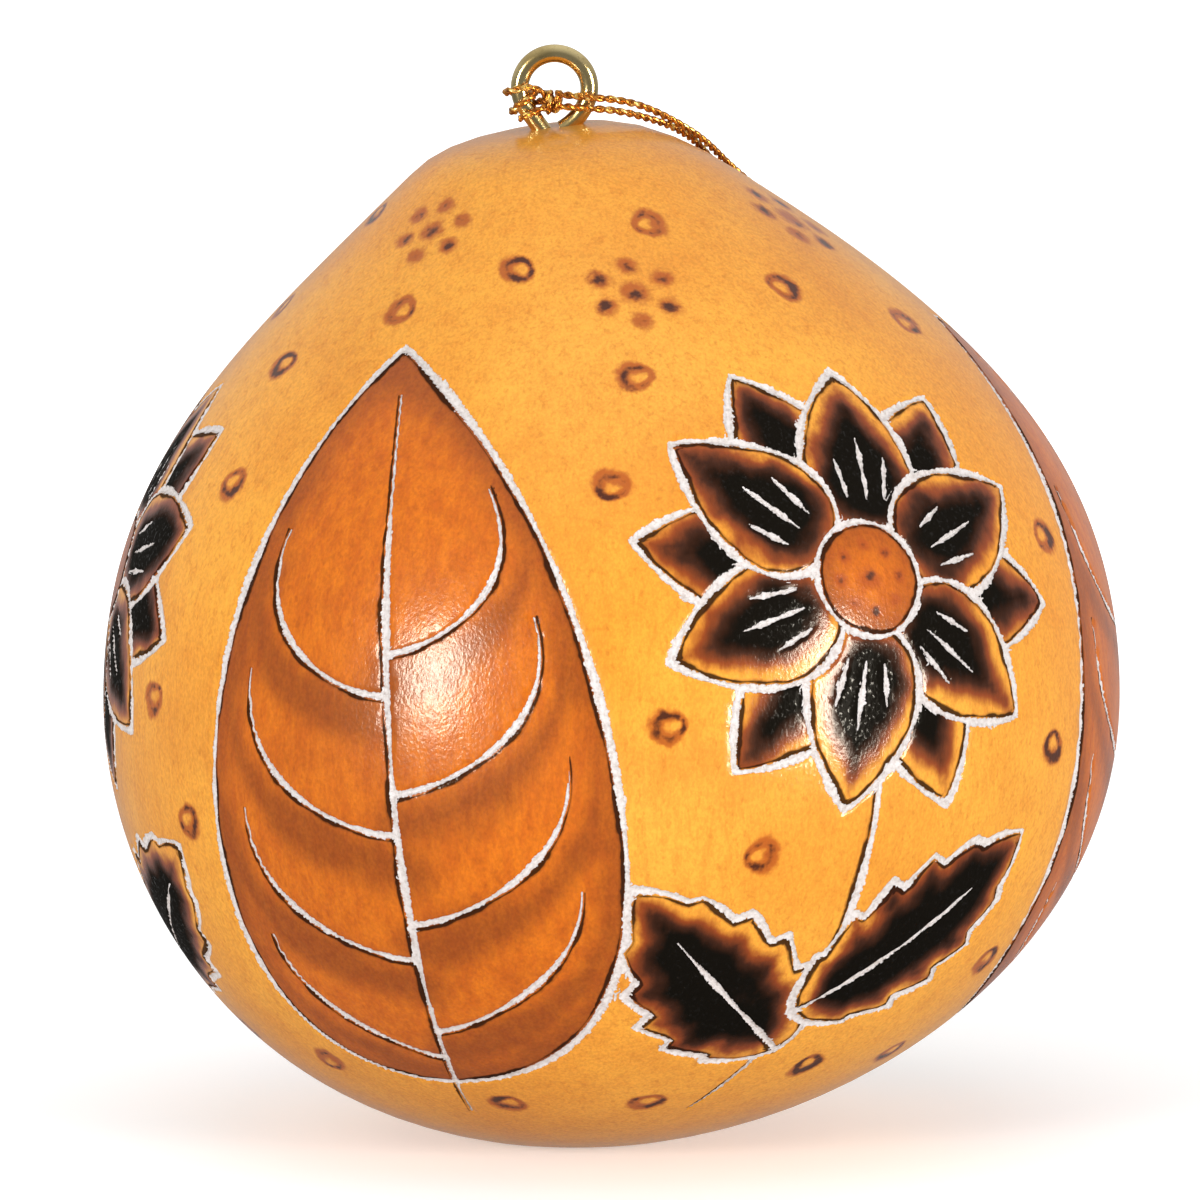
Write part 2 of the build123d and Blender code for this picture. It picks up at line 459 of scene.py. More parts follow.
class Lattice:
    """Fields over the skin's finest lattice: how near a point is to lines, and its tone, burn and shade."""

    def __init__(self):
        """Fields that are far from every line, with no tone or burn."""
        self.turn = np.arange(COLUMNS) * (2 * np.pi / COLUMNS)
        self.distance = np.linspace(0, DISTANCE[-1], ROWS + 1)
        self.radius = radius_at(self.distance)
        shape = (ROWS + 1, COLUMNS)
        self.groove = np.full(shape, FAR)
        self.char = np.full(shape, FAR)
        self.mark = np.full(shape, FAR)
        self.tone = np.zeros(shape)
        self.burn = np.zeros(shape)
        self.shade = np.full(shape, FAR)
        self.groove_way = np.full((*shape, 3), FAR)
        self.char_way = np.full((*shape, 3), FAR)

    def block(self, turns, distances, reach):
        """Rows, columns, turns and distances of the lattice points within reach of the given ones."""
        step = self.distance[1]
        first = int(np.clip((distances.min() - reach) // step, 0, ROWS))
        last = int(np.clip((distances.max() + reach) // step + 1, 0, ROWS))
        rows = np.arange(first, last + 1)
        spread = reach / self.radius[rows].min()
        unit = 2 * np.pi / COLUMNS
        left = int((turns.min() - spread) // unit)
        right = int((turns.max() + spread) // unit)
        columns = np.arange(left, right + 2)
        return rows, columns % COLUMNS, columns * unit, self.distance[rows]

    def line(self, field, points, half_width, ways=None):
        """Lowers a field to the distance from a line of points, in half widths of the line.

        The ways, if given, keep the two steps to the line, which stay true between lattice points, and
        how far outside the line's edge a point lies.
        """
        half_width = np.broadcast_to(half_width, len(points))
        runs = zip(points[:-1], points[1:], half_width[:-1], half_width[1:])
        for start, end, wide, wide_end in runs:
            pair = np.array([start, end])
            reach = FAR / 2 * max(wide, wide_end)
            rows, columns, turns, distances = self.block(pair[:, 0], pair[:, 1], reach)
            scale = radius_at(pair[:, 1].mean())
            run = (end - start) * (scale, 1)
            across = (turns - start[0])[None] * scale
            up = (distances - start[1])[:, None]
            share = np.clip((across * run[0] + up * run[1]) / max(run.dot(run), TINY), 0, 1)
            here = wide + share * (wide_end - wide)
            step_across = across - share * run[0]
            step_up = up - share * run[1]
            gap = np.hypot(step_across, step_up)
            cells = np.ix_(rows, columns)
            nearer = gap / here < field[cells]
            field[cells] = np.where(nearer, gap / here, field[cells])
            if ways is not None:
                found = np.stack([step_across / here, step_up / here, gap - EDGE_MARGIN * here], -1)
                ways[cells] = np.where(nearer[..., None], found, ways[cells])

    def area(self, points):
        """The lattice cells about a closed line, which of them it holds and how deep inside it they are."""
        rows, columns, turns, distances = self.block(points[:, 0], points[:, 1], STEP)
        scale = self.radius[rows][:, None]
        inside = np.zeros((len(rows), len(columns)), bool)
        depth = np.full(inside.shape, np.inf)
        across = turns[None] + 0 * scale
        up = distances[:, None] + 0 * across
        for start, end in zip(points, np.roll(points, -1, axis=0)):
            run = end - start
            if run[1]:
                crosses = (start[1] > up) != (end[1] > up)
                inside ^= crosses & (across < start[0] + (up - start[1]) * run[0] / run[1])
            wide = (across - start[0]) * scale
            high = up - start[1]
            run_wide = run[0] * scale
            run_square = run_wide**2 + run[1] ** 2 + TINY
            share = np.clip((wide * run_wide + high * run[1]) / run_square, 0, 1)
            depth = np.minimum(depth, np.hypot(wide - share * run_wide, high - share * run[1]))
        return np.ix_(rows, columns), inside, depth

    def wipe(self, area):
        """Clears an area of earlier work, for a motif that lies over others."""
        cells, inside, _ = area
        for field in (self.groove, self.char, self.mark, self.shade):
            field[cells] = np.where(inside, FAR, field[cells])
        for ways in (self.groove_way, self.char_way):
            ways[cells] = np.where(inside[..., None], FAR, ways[cells])
        for field in (self.tone, self.burn):
            field[cells] = np.where(inside, 0, field[cells])

    def stain(self, area):
        """Tones an area, and shades it by how near its edge is."""
        cells, inside, depth = area
        self.tone[cells] = np.maximum(self.tone[cells], inside)
        shaded = np.minimum(self.shade[cells], depth / EDGE_SHADE)
        self.shade[cells] = np.where(inside, shaded, self.shade[cells])

    def scorch(self, area):
        """Burns an area, from nothing at its edge to the most at the burn's depth inside it."""
        cells, inside, depth = area
        self.burn[cells] = np.maximum(self.burn[cells], inside * np.clip(depth / BURN_DEPTH, 0, 1))


def placed(points, turn, height, tilt=0.0):
    """Points of a motif, in millimetres about its middle, as turns round the gourd and distances along it."""
    points = np.asarray(points, float)
    wide = points[:, 0] * np.cos(tilt) - points[:, 1] * np.sin(tilt)
    high = points[:, 0] * np.sin(tilt) + points[:, 1] * np.cos(tilt)
    distance = distance_at(height) + high
    return np.stack([turn + wide / radius_at(distance), distance], -1)


def offset_line(points, gaps):
    """A line beside a line of flat points, to its left for positive gaps."""
    _, direction = along(points)
    return points + np.stack([-direction[:, 1], direction[:, 0]], -1) * gaps[:, None]


def swell(count, beats, phase):
    """Shares of a line's width that rise and fall along it by a slow and a quick sine."""
    way = np.linspace(0, 2 * np.pi, count)
    slow = np.sin(beats * way + phase)
    quick = np.sin((3 * beats + 1) * way + 2 * phase)
    return SWELL_MEAN + SWELL_SLOW * slow + SWELL_QUICK * quick


def taper(count, ends):
    """Shares of a line's width that fall to nothing at its marked ends, by a power of the way to the end."""
    share = np.linspace(0, 1, count)
    near_start = np.clip(share / POINT_SHARE, 0, 1) if ends[0] else 1
    near_end = np.clip((1 - share) / POINT_SHARE, 0, 1) if ends[1] else 1
    return np.minimum(near_start, near_end) ** POINT_POWER


def cut(skin, points, place, wide=LINE_HALF_WIDTH, ends=(1, 1), side=1, beats=2):
    """A carved line with a charred line along one side of it."""
    phase = SWELL_SPREAD * place[0] + place[1] + len(points)
    share = taper(len(points), ends)
    half_width = np.maximum(wide * swell(len(points), beats, phase) * share, POINT_HALF_WIDTH)
    skin.line(skin.groove, placed(points, *place), half_width, skin.groove_way)
    beside = offset_line(points, side * (half_width + CHAR_GAP))
    char_swell = swell(len(points), beats + 1, phase + 2)
    char_width = np.maximum(CHAR_HALF_WIDTH * char_swell * share, POINT_HALF_WIDTH)
    skin.line(skin.char, placed(beside, *place), char_width, skin.char_way)


def cut_closed(skin, points, place, wide=LINE_HALF_WIDTH):
    """A carved outline over earlier work, charred along its inner side, and the area that it holds."""
    area = skin.area(placed(points, *place))
    skin.wipe(area)
    cut(skin, np.vstack([points, points[:2]]), place, wide, ends=(0, 0), beats=5)
    return area


def leaf_half_width(share, width):
    """Half width of a leaf at a share of its length: a power of the share times a power of what is left."""
    widest = LEAF_FOOT / (LEAF_FOOT + LEAF_TIP)
    return width * (share / widest) ** LEAF_FOOT * ((1 - share) / (1 - widest)) ** LEAF_TIP


def leaf_midrib(share, length, bend):
    """The middle line of a leaf about the origin, bowed aside as a parabola."""
    return np.stack([bend * 4 * share * (1 - share), length * (share - 0.5)], -1)


def leaf_edge(share, length, width, bend, teeth, tooth):
    """One edge of a leaf, on the right for a positive width, with saw teeth if it has any."""
    saw = tooth * ((share * teeth) % 1) * np.sin(np.pi * share) if teeth else 0 * share
    reach = leaf_half_width(share, abs(width)) + saw
    return leaf_midrib(share, length, bend) + np.stack([np.sign(width) * reach, 0 * share], -1)


def leaf_outline(length, width, bend=0.0, teeth=0, tooth=0.0):
    """A leaf's two edges as one closed line, from its foot."""
    share = np.linspace(0, 1, max(int(LEAF_POINTS * length / STEP), TOOTH_POINTS * teeth))
    right = leaf_edge(share, length, width, bend, teeth, tooth)
    left = leaf_edge(share, length, -width, bend, teeth, tooth)
    return np.vstack([right, left[-2:0:-1]])


def draw_toned_leaf(skin, place, length, width, bend, veins):
    """A broad leaf stained amber, with smoky shading inside its edge and below its side veins."""
    skin.stain(cut_closed(skin, leaf_outline(length, width, bend), place))
    rib = leaf_midrib(np.linspace(*RIB_SPAN, int(length / STEP)), length, bend)
    cut(skin, rib, place, beats=3)
    for vein in range(veins):
        for hand in (-1, 1):
            root = VEIN_START + VEIN_SPAN * vein / veins + VEIN_STAGGER * hand
            draw_vein(skin, place, root, length, width, bend, hand)


def draw_vein(skin, place, root, length, width, bend, hand):
    """A side vein that rises in a bow from the midrib to near the leaf's edge, shaded below."""
    climb = np.linspace(0, 1, VEIN_POINTS)
    share = root + VEIN_RISE * climb**VEIN_BOW
    reach = leaf_half_width(share, width) * VEIN_REACH * np.sin(climb * np.pi / 2)
    line = leaf_midrib(share, length, bend) + np.stack([hand * reach, 0 * climb], -1)
    cut(skin, line, place, VEIN_HALF_WIDTH, ends=(0, 1), side=-hand)
    below = offset_line(line, np.full(len(line), -hand * VEIN_SHADE))
    skin.line(skin.shade, placed(below, *place), VEIN_SHADE * (VEIN_SHADE_FOOT - VEIN_SHADE_FALL * climb))


def motif_place(place, wide, high, tilt):
    """The place of a part of a motif, given where it lies about the motif's own place."""
    turn, distance = placed([(wide, high)], *place)[0]
    return turn, np.interp(distance, DISTANCE, HEIGHT), tilt


def draw_petal(skin, place, angle, root, length, width, cuts):
    """A charred pointed petal with short cuts near its foot."""
    reach = root + length / 2
    petal_place = motif_place(place, reach * np.sin(angle), reach * np.cos(angle), -angle)
    skin.scorch(cut_closed(skin, leaf_outline(length, width), petal_place))
    for spread, size in cuts:
        rise = np.linspace(CUT_START, CUT_START + size, CUT_POINTS)
        tick = np.stack([spread * width * (CUT_SPLAY + rise), length * (rise - 0.5)], -1)
        cut(skin, tick, petal_place, VEIN_HALF_WIDTH)


def draw_flower(skin, place, reach):
    """A flower of two rows of charred petals, evenly round a toned disc with burnt dots."""
    disc = reach * DISC_SHARE
    root = disc * PETAL_ROOT
    length = reach - root
    width = np.pi / PETALS * (root + length * PETAL_WIDEST)
    for row, share, cuts in PETAL_ROWS:
        for petal in range(PETALS):
            angle = 2 * np.pi * (petal + row) / PETALS + PETAL_TURN
            draw_petal(skin, place, angle, root, length * share, width, cuts)
    turn = np.linspace(2 * np.pi, 0, DISC_POINTS, endpoint=False)
    rim = disc * np.stack([np.sin(turn), np.cos(turn)], -1)
    skin.stain(cut_closed(skin, rim, place, VEIN_HALF_WIDTH))
    draw_dots(skin, place, DISC_DOTS, disc * DISC_DOT_REACH, DISC_DOT)
    draw_dots(skin, place, 1, 0.0, DISC_MIDDLE_DOT)


def draw_dots(skin, place, count, reach, half_width):
    """Burnt dots evenly round a circle."""
    for dot in range(count):
        angle = 2 * np.pi * dot / count
        middle = np.array([[np.sin(angle), np.cos(angle)]]) * reach
        skin.line(skin.mark, placed(np.repeat(middle, 2, axis=0), *place), half_width)


def draw_ring(skin, place, phase):
    """A burnt ring, out of round by two sines and uneven in width by one."""
    angle = np.linspace(0, 2 * np.pi, BURNT_RING_POINTS)
    oval, corners = BURNT_RING_WOBBLE
    uneven = 1 + oval * np.sin(2 * angle + phase) + corners * np.sin(3 * angle + 2 * phase)
    reach = BURNT_RING_REACH * uneven
    widths = BURNT_RING_HALF_WIDTH * (1 + BURNT_RING_SWING * np.sin(angle + 3 * phase))
    line = np.stack([np.sin(angle), np.cos(angle)], -1) * reach[:, None]
    skin.line(skin.mark, placed(line, *place), widths)


def draw_spray(skin, turn, height, flower_height, sway, size):
    """A flower on a bowed stem with two saw-edged charred leaves, standing at a height."""
    rise = distance_at(flower_height) - distance_at(height)
    share = np.linspace(0, 1, int(rise / STEP))
    stem = np.stack([sway * np.sin(share * np.pi / 2) - sway, rise * (share - 1)], -1)
    place = (turn, flower_height)
    cut(skin, stem, place, ends=(1, 0))
    length = size * STEM_LEAF_LENGTH
    outline = leaf_outline(length, size * STEM_LEAF_WIDTH, 0.0, TEETH, TOOTH)
    rib = leaf_midrib(np.linspace(0.0, STEM_LEAF_RIB, STEM_LEAF_RIB_POINTS), length, 0.0)
    for hand, at, lean in STEM_LEAVES:
        root = stem[int(at * len(stem))]
        tilt = -hand * lean
        wide, high = root + np.array([-np.sin(tilt), np.cos(tilt)]) * (length / 2 + STEM_LEAF_GAP)
        leaf_place = motif_place(place, wide, high, tilt)
        skin.scorch(cut_closed(skin, outline, leaf_place))
        cut(skin, rib, leaf_place, VEIN_HALF_WIDTH, ends=(0, 1))
    draw_flower(skin, place, size)


def draw_design(skin):
    """Toned leaves and charred flowers in turn round the gourd, with burnt rings and dots between them."""
    for repeat in range(REPEATS):
        start = np.radians(FIRST_TURN + 360 // REPEATS * repeat)
        tilt = np.radians(LEAF_TILT + LEAF_TILT_CHANGE * repeat)
        leaf_height = LEAF_HEIGHT + LEAF_HEIGHT_CHANGE * repeat
        leaf_place = (start + np.radians(LEAF_TURN), leaf_height, tilt)
        length = LEAF_LENGTH + LEAF_LENGTH_CHANGE * repeat
        bend = LEAF_BEND + LEAF_BEND_CHANGE * repeat
        draw_toned_leaf(skin, leaf_place, length, LEAF_WIDTH, bend, LEAF_VEINS)
        flower_height = FLOWER_HEIGHT + FLOWER_HEIGHT_CHANGE * repeat
        sway = FLOWER_SWAY + FLOWER_SWAY_CHANGE * repeat
        size = FLOWER_SIZE + FLOWER_SIZE_CHANGE * repeat
        draw_spray(skin, start + np.radians(SPRAY_TURN), SPRAY_HEIGHT, flower_height, sway, size)
        for turn, height in ROSETTES:
            place = (start + np.radians(turn), height)
            draw_dots(skin, place, ROSETTE_DOTS, ROSETTE_REACH, ROSETTE_DOT)
            draw_dots(skin, place, 1, 0.0, ROSETTE_MIDDLE_DOT)
    scatter_rings(skin)


def scatter_rings(skin):
    """Burnt rings at seeded places that are clear of the other work and of each other."""
    spots = np.random.default_rng(BURNT_RING_SEED)
    taken = np.zeros((0, 3))
    circle = np.linspace(0, 2 * np.pi, BURNT_RING_BEARINGS, endpoint=False)
    bearing = np.r_[0.0, circle, circle]
    around = np.r_[0.0, np.repeat(BURNT_RING_CLEAR, BURNT_RING_BEARINGS)]
    lowest, highest = BURNT_RING_HEIGHTS
    tries = spots.uniform((0, lowest), (2 * np.pi, highest), (BURNT_RING_TRIES, 2))
    for turn, height in tries:
        distance = distance_at(height)
        radius = radius_at(distance)
        spot = np.array([radius * np.cos(turn), radius * np.sin(turn), height])
        if len(taken) and np.linalg.norm(taken - spot, axis=1).min() < BURNT_RING_SPACING:
            continue
        turns = turn + around * np.cos(bearing) / radius
        columns = np.round(turns * COLUMNS / (2 * np.pi)).astype(int) % COLUMNS
        rows = np.round((distance + around * np.sin(bearing)) / skin.distance[1]).astype(int)
        busy = (skin.groove[rows, columns] < FAR / 2) | (skin.mark[rows, columns] < FAR / 2)
        busy |= (skin.tone[rows, columns] > 0) | (skin.burn[rows, columns] > 0)
        if not busy.any():
            taken = np.vstack([taken, spot])
            draw_ring(skin, (turn, height), BURNT_RING_PHASE * turn)


# Skin mesh

def skin_points(skin):
    """Place of every lattice point: level circles of the outline's radius, shifted, tilted and carved.

    A groove's section is a power of a parabola across it, and a burnt mark's is a parabola.
    """
    turn = skin.turn[None]
    radius = skin.radius[:, None]
    height = np.interp(skin.distance, DISTANCE, HEIGHT)[:, None]
    shift = section_shift(height, GOURD_HEIGHT)
    slope = np.tan(CROWN_TILT) * (height / GOURD_HEIGHT) ** TILT_POWER
    wide = radius * np.cos(turn)
    smooth = np.stack([shift + wide, radius * np.sin(turn), height + slope * wide], -1)
    outward = lattice_normals(smooth)
    groove = GROOVE_DEPTH * np.clip(1 - skin.groove**2, 0, 1) ** GROOVE_POWER
    mark = MARK_DEPTH * np.clip(1 - skin.mark**2, 0, 1)
    return smooth - outward * (groove + mark)[..., None]


def lattice_normals(points):
    """Outward directions on the lattice, square to its two runs."""
    round_run = np.roll(points, -1, axis=1) - np.roll(points, 1, axis=1)
    up_run = np.gradient(points, axis=0)
    outward = np.cross(round_run, up_run)
    return outward / np.maximum(np.linalg.norm(outward, axis=2, keepdims=True), LEAST_LENGTH)


def pooled(need, size):
    """The greatest need in each square of cells, and in it and its neighbours, joined round the gourd."""
    own = need.reshape(ROWS // size, size, COLUMNS // size, size).max(axis=(1, 3))
    wide = np.maximum(own, np.maximum(np.roll(own, 1, axis=1), np.roll(own, -1, axis=1)))
    padded = np.pad(wide, ((1, 1), (0, 0)), mode="edge")
    return own, np.maximum(wide, np.maximum(padded[:-2], padded[2:]))


def leaf_cells(need):
    """Cells that are halved where the carving needs it, so that neighbours differ by one halving at most.

    Returns the row, column and size of each, in finest cells.
    """
    size = 2**LEVELS
    active = np.ones((ROWS // size, COLUMNS // size), bool)
    found = []
    for level in range(LEVELS + 1):
        own, around = pooled(need, size)
        split = active & ((own > level) | (around > level + 1))
        rows, columns = np.nonzero(active & ~split)
        found.append(np.stack([rows * size, columns * size, np.full(len(rows), size)], -1))
        active = split.repeat(2, axis=0).repeat(2, axis=1)
        size //= 2
    return np.vstack(found)


def skin_faces(cells):
    """Rows and columns of the corners of each cell, and which of them its face uses.

    A face has four corners, and the middle of each side that a finer cell meets.
    """
    row, column, size = cells.T
    used = np.zeros((ROWS + 1, COLUMNS + 1), bool)
    for high in (0, 1):
        for wide in (0, 1):
            used[row + high * size, column + wide * size] = True
    used[:, 0] |= used[:, -1]
    used[:, -1] |= used[:, 0]
    half = size // 2
    places = ((0, 0), (0, half), (0, size), (half, size))
    places += ((size, size), (size, half), (size, 0), (half, 0))
    corners = np.stack([np.stack([row + high, column + wide], -1) for high, wide in places], 1)
    keep = used[corners[..., 0], corners[..., 1]]
    keep[size == 1, 1::2] = False
    return corners, keep


def add_fields(mesh, skin, rows, columns):
    """The design's fields at the mesh's points, which are the lattice points in these rows and columns."""
    for name in ("mark", "tone", "burn", "shade"):
        values = getattr(skin, name)[rows, columns].astype(np.float32)
        mesh.attributes.new(name, "FLOAT", "POINT").data.foreach_set("value", values)
    for name in ("groove_way", "char_way"):
        values = getattr(skin, name)[rows, columns].astype(np.float32)
        mesh.attributes.new(name, "FLOAT_VECTOR", "POINT").data.foreach_set("vector", values.ravel())


def make_skin(material):
    """The skin's mesh: lattice points at the cells' corners, with the design's fields and a map for baking.

    The map is the turn across and the distance along the outline up, each as a share.
    """
    skin = Lattice()
    draw_design(skin)
    points = skin_points(skin)
    normals = lattice_normals(points)
    near = np.minimum(np.minimum(skin.groove, skin.char), skin.mark)
    worked = (skin.burn > 0) | (skin.tone > 0) | (skin.shade < FAR / 2)
    need = np.select([near < FINEST_REACH, near < FINER_REACH, worked], [LEVELS, LEVELS - 1, 1], 0)
    need = np.maximum(need[:-1], need[1:])
    corners, keep = skin_faces(leaf_cells(need))
    numbers = np.full((ROWS + 1, COLUMNS), -1)
    rows, columns = corners[keep].T
    numbers[rows, columns % COLUMNS] = 0
    rows_used, columns_used = np.nonzero(numbers >= 0)
    numbers[rows_used, columns_used] = np.arange(len(rows_used))
    loops = numbers[rows, columns % COLUMNS]
    ends = np.cumsum(keep.sum(axis=1))
    faces = [part.tolist() for part in np.split(loops, ends[:-1])]
    base = numbers[0][numbers[0] >= 0]
    scar = numbers[-1][numbers[-1] >= 0]
    faces += [base[::-1].tolist(), scar.tolist()]
    piece = new_piece("gourd_skin", points[rows_used, columns_used], faces, material)
    mesh = piece.data
    add_fields(mesh, skin, rows_used, columns_used)
    across = np.r_[columns / COLUMNS, base * 0.0, scar * 0.0]
    up = np.r_[rows / ROWS, base * 0.0, scar * 0.0 + 1]
    layer = mesh.uv_layers.new(name="OFBake")
    layer.uv.foreach_set("vector", np.stack([across, up], -1).ravel().astype(np.float32))
    mesh.normals_split_custom_set_from_vertices(normals[rows_used, columns_used])
    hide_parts("gourd_shell")


# Screw eye

RING_MIDDLE = np.array([EYE_SHIFT, 0, GOURD_HEIGHT + RING_LIFT])


def ring_points(angle):
    """Points of the ring's centre line at angles from the right."""
    return RING_MIDDLE + np.stack([np.cos(angle), 0 * angle, np.sin(angle)], -1) * RING_RADIUS


def make_eye(material):
    """A wire along a straight leg out of the crown, most of a circle, and an arc that ends in the crown.

    The last arc leaves the circle along its tangent, with the radius that brings it to the wire's end.
    """
    foot = RING_MIDDLE + np.array([0, 0, RING_RADIUS / np.sin(LEG_ANGLE)])
    head = ring_points(LEG_ANGLE)
    leg = foot + (head - foot) * np.linspace(0, 1, LEG_POINTS, endpoint=False)[:, None]
    ring = ring_points(np.linspace(LEG_ANGLE, END_LEG_ANGLE, CIRCLE_POINTS, endpoint=False))
    start = ring_points(END_LEG_ANGLE)
    end = np.array([EYE_SHIFT + END_REACH, 0, GOURD_HEIGHT - END_DEPTH])
    inward = (RING_MIDDLE - start) / RING_RADIUS
    chord = end - start
    radius = chord.dot(chord) / (2 * chord.dot(inward))
    sweep = 2 * np.arcsin(np.linalg.norm(chord) / (2 * radius))
    angle = END_LEG_ANGLE - sweep * np.linspace(0, 1, LIMB_POINTS)
    limb = start + inward * radius + np.stack([np.cos(angle), 0 * angle, np.sin(angle)], -1) * radius
    vertices, faces = tube(np.vstack([leg, ring, limb]), WIRE_RADIUS, WIRE_SIDES)
    piece = new_piece("brass_eye", vertices, faces, material)
    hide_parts("screw_eye")


# Thread

def smooth_line(points):
    """Points, in millimetres, of the smooth spline that a route's points control."""
    curve = bpy.data.curves.new("route", "CURVE")
    curve.dimensions = "3D"
    curve.resolution_u = ROUTE_RESOLUTION
    spline = curve.splines.new("NURBS")
    spline.points.add(len(points) - 1)
    spline.points.foreach_set("co", np.c_[np.array(points) * MM, np.ones(len(points))].ravel())
    spline.order_u = 3
    spline.use_endpoint_u = True
    holder = bpy.data.objects.new("route", curve)
    mesh = bpy.data.meshes.new_from_object(holder)
    found = np.empty(len(mesh.vertices) * 3)
    mesh.vertices.foreach_get("co", found)
    bpy.data.objects.remove(holder)
    bpy.data.curves.remove(curve)
    bpy.data.meshes.remove(mesh)
    return found.reshape(-1, 3) / MM


def evenly(points, step):
    """A line of points again, at even distances along it."""
    distance, _ = along(points)
    stops = np.linspace(0, distance[-1], int(distance[-1] / step) + 1)
    return np.stack([np.interp(stops, distance, points[:, axis]) for axis in range(3)], -1)


def strand(points):
    """Two plies that wind round a line as helices, half a turn apart."""
    points = evenly(points, PLY_STEP)
    distance, _ = along(points)
    side, other = frames(points)
    plies = []
    for ply in range(2):
        turn = 2 * np.pi * distance / PLY_TURN + np.pi * ply
        centre = points + (side * np.cos(turn)[:, None] + other * np.sin(turn)[:, None]) * PLY_OFFSET
        plies.append(tube(centre, PLY_RADIUS, PLY_SIDES))
    return joined(plies)


def make_loop(material):
    """The free loop as a strand along its route, and the line that it follows."""
    line = smooth_line(LOOP_ROUTE)
    vertices, faces = strand(line)
    piece = new_piece("thread_loop", vertices, faces, material)
    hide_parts("hanging_loop")
    return piece, line


def bridge(start, start_pull, end, end_pull):
    """A cubic curve between two points that leaves and arrives along two pulls."""
    share = np.linspace(0, 1, BRIDGE_POINTS)[:, None]
    rest = 1 - share
    inner = 3 * rest**2 * share * (start + start_pull) + 3 * rest * share**2 * (end - end_pull)
    return rest**3 * start + inner + share**3 * end


def make_hitch(material):
    """Turns round the ring's wire, as a circle that moves along it, and the ways from and to the knot."""
    wrap = np.linspace(WRAP_START, WRAP_END, HITCH_POINTS)
    middle = ring_points(HITCH_START + HITCH_STEP * (wrap - WRAP_START) / (2 * np.pi))
    outward = (middle - RING_MIDDLE) / RING_RADIUS
    reach = WIRE_RADIUS + THREAD_DIAMETER / 2 + HITCH_CLEARANCE
    back = np.array([0, 1, 0])
    turns = middle + (outward * np.cos(wrap)[:, None] + back * np.sin(wrap)[:, None]) * reach
    _, direction = along(turns)
    knot = np.array(KNOT_PLACE)
    way_out = bridge(knot, np.array(OUT_PULL), turns[0], direction[0] * TURN_PULL)
    way_back = bridge(turns[-1], direction[-1] * TURN_PULL, knot, np.array(BACK_PULL))
    vertices, faces = strand(np.vstack([way_out[:-1], turns, way_back[1:]]))
    piece = new_piece("thread_turns", vertices, faces, material)
    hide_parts("thread_hitch")
    return piece


def make_knot(material):
    """A pulled-tight knot, as a short uneven coil round the strands inside it, and its two cut ends."""
    turn = np.linspace(0, 2 * np.pi * KNOT_TURNS, KNOT_POINTS)
    middle = turn.mean()
    coil = np.stack(
        [
            KNOT_PITCH * (turn - middle) / (2 * np.pi) + KNOT_SWAY * np.sin(turn * KNOT_SWAY_RATE),
            KNOT_RADIUS * np.sin(turn),
            (KNOT_RADIUS + KNOT_RISE) * np.cos(turn + KNOT_SKEW * np.sin(turn)),
        ],
        -1,
    )
    parts = [strand(coil + KNOT_PLACE)]
    parts += [strand(smooth_line(route)) for route in (FRONT_END_ROUTE, BACK_END_ROUTE)]
    vertices, faces = joined(parts)
    piece = new_piece("thread_tie", vertices, faces, material)
    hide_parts("thread_knot")
    return piece


# Materials

